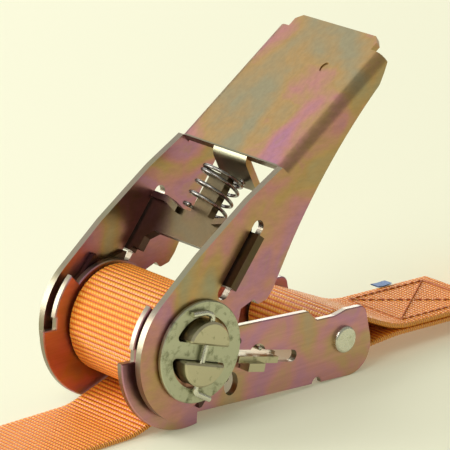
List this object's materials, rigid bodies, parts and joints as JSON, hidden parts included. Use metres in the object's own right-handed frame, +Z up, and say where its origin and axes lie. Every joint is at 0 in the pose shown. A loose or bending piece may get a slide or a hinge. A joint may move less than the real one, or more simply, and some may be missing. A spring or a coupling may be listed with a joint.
{
  "type": "ratchet tie down",
  "caption": "Small ratchet buckle for orange webbing: folded steel handle with a sprung pawl, slotted spindle between toothed wheels, and a sewn strap looped round the anchor rivet.",
  "frame": {"origin": "the spindle's axis, midway between the two frame plates, in the middle of the webbing's slot", "axes": "+X towards the anchor rivet along the table, +Y across the buckle to its far side, +Z up"},
  "size_m": [0.315, 0.0446, 0.0836],
  "materials": {
    "chromated_steel": "yellow chromate over zinc, satin, with mauve and green tints",
    "grey_zinc_steel": "dull grey-green zinc plate",
    "bright_zinc_steel": "bright zinc plate",
    "spring_wire": "dark drawn wire",
    "webbing": "woven polyester, matt with a slight sheen",
    "thread": "orange-brown sewing thread",
    "label": "blank woven label"
  },
  "bodies": {
    "frame": {"frame_plate_near": "chromated_steel", "frame_plate_far": "chromated_steel", "anchor_rivet": "bright_zinc_steel", "anchor_sleeve": "bright_zinc_steel", "lock_pawl_spring": "bright_zinc_steel", "long_strap": "webbing", "long_strap_roll": "webbing"},
    "handle": {"handle": "chromated_steel", "handle_pawl_spring": "spring_wire"},
    "spool": {"spindle_half_upper": "grey_zinc_steel", "spindle_half_lower": "grey_zinc_steel", "ratchet_wheel_near": "chromated_steel", "ratchet_wheel_far": "chromated_steel", "end_disc_near": "grey_zinc_steel", "end_disc_far": "grey_zinc_steel", "split_pin_near": "bright_zinc_steel", "split_pin_far": "bright_zinc_steel", "wound_webbing": "webbing"},
    "handle_pawl": {"handle_pawl": "chromated_steel"},
    "lock_pawl": {"lock_pawl": "grey_zinc_steel"},
    "anchored_strap": {"fixed_strap": "webbing", "fixed_strap_roll": "webbing", "seam_thread": "thread", "strap_label": "label"}
  },
  "joints": [
    {"name": "handle_swing", "type": "hinge", "parent": "frame", "child": "handle", "pos_m": [0, 0, 0], "axis": [0, 1, 0], "range_deg": [-117, 36]},
    {"name": "spool_spin", "type": "hinge", "parent": "frame", "child": "spool", "pos_m": [0, 0, 0], "axis": [0, 1, 0], "continuous": true},
    {"name": "handle_pawl_slide", "type": "slide", "parent": "handle", "child": "handle_pawl", "axis": [-0.617, 0, -0.7869], "range_m": [-0.003, 0.0025], "stiffness_N_per_m": 300, "deforming": ["handle_pawl_spring"]},
    {"name": "lock_pawl_slide", "type": "slide", "parent": "frame", "child": "lock_pawl", "axis": [-0.972, 0, 0.2351], "range_m": [-0.003, 0.0022], "stiffness_N_per_m": 300, "deforming": ["lock_pawl_spring"]},
    {"name": "strap_swing", "type": "hinge", "parent": "frame", "child": "anchored_strap", "pos_m": [0.05046, 0, -0.01019], "axis": [0, -1, 0], "range_deg": [-8, 20]}
  ]
}
